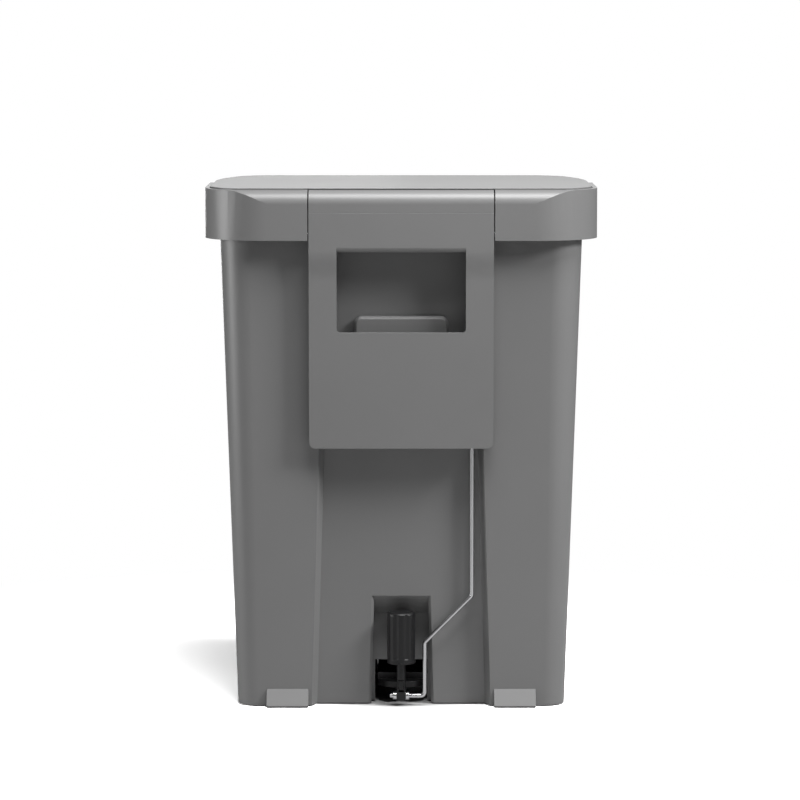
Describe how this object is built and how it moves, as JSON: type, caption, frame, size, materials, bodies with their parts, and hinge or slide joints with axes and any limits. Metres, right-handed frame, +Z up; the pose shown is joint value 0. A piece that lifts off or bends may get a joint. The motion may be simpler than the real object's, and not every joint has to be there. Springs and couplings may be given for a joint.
{
  "type": "litter disposal pail",
  "caption": "Step-on litter disposal pail: tapered bin with a hinged lid, lifted by a pedal through a lever and a lift rod in the back wall, and let down by a damper.",
  "frame": {"origin": "on the floor, under the middle of the closed lid's outline", "axes": "+Z up, -Y the front with the pedal, +Y the back with the rear cover and the lift rod, X the width"},
  "size_m": [0.46, 0.356, 0.612],
  "materials": {
    "grey_plastic": "satin",
    "black_plastic": "satin",
    "steel": "zinc plated",
    "rubber": "matt"
  },
  "bodies": {
    "pail": {"body": "grey_plastic", "rear_cover": "grey_plastic", "hinge_cap": "grey_plastic", "cover_screws": "steel", "axle_bushes": "black_plastic", "damper_cylinder": "black_plastic", "damper_end_cap": "black_plastic", "damper_saddle": "black_plastic", "damper_screws": "steel", "pivot_bracket": "black_plastic", "bracket_screws": "steel", "pedal_pin": "steel", "pin_clips": "steel", "rear_pads": "rubber", "front_pads": "rubber"},
    "lid": {"lid_shell": "grey_plastic", "lid_panel": "grey_plastic", "lid_liner": "grey_plastic", "lid_screws": "steel", "lid_bumpers": "rubber", "hinge_axle": "steel", "crank_arm": "black_plastic"},
    "lift_rod": {"pushrod": "steel", "rod_washers": "steel", "crank_washer": "steel", "damper_stem": "black_plastic", "damper_piston": "black_plastic"},
    "pedal": {"pedal_lever": "black_plastic", "pedal_tread": "grey_plastic"}
  },
  "joints": [
    {"name": "lid_hinge", "type": "hinge", "parent": "pail", "child": "lid", "pos_m": [0, 0.168, 0.5585], "axis": [-1, 0, 0], "range_deg": [0, 70]},
    {"name": "rod_slide", "type": "slide", "parent": "pail", "child": "lift_rod", "axis": [0, 0.0335, 0.9994], "range_m": [0, 0.02]},
    {"name": "pedal_pivot", "type": "hinge", "parent": "pail", "child": "pedal", "pos_m": [0, 0.005, 0.024], "axis": [1, 0, 0], "range_deg": [0, 8.83]}
  ],
  "couplings": [
    {"joint": "rod_slide", "follows": "lid_hinge", "m_per_rad": 0.01637},
    {"joint": "pedal_pivot", "follows": "lid_hinge", "ratio": 0.12614}
  ]
}
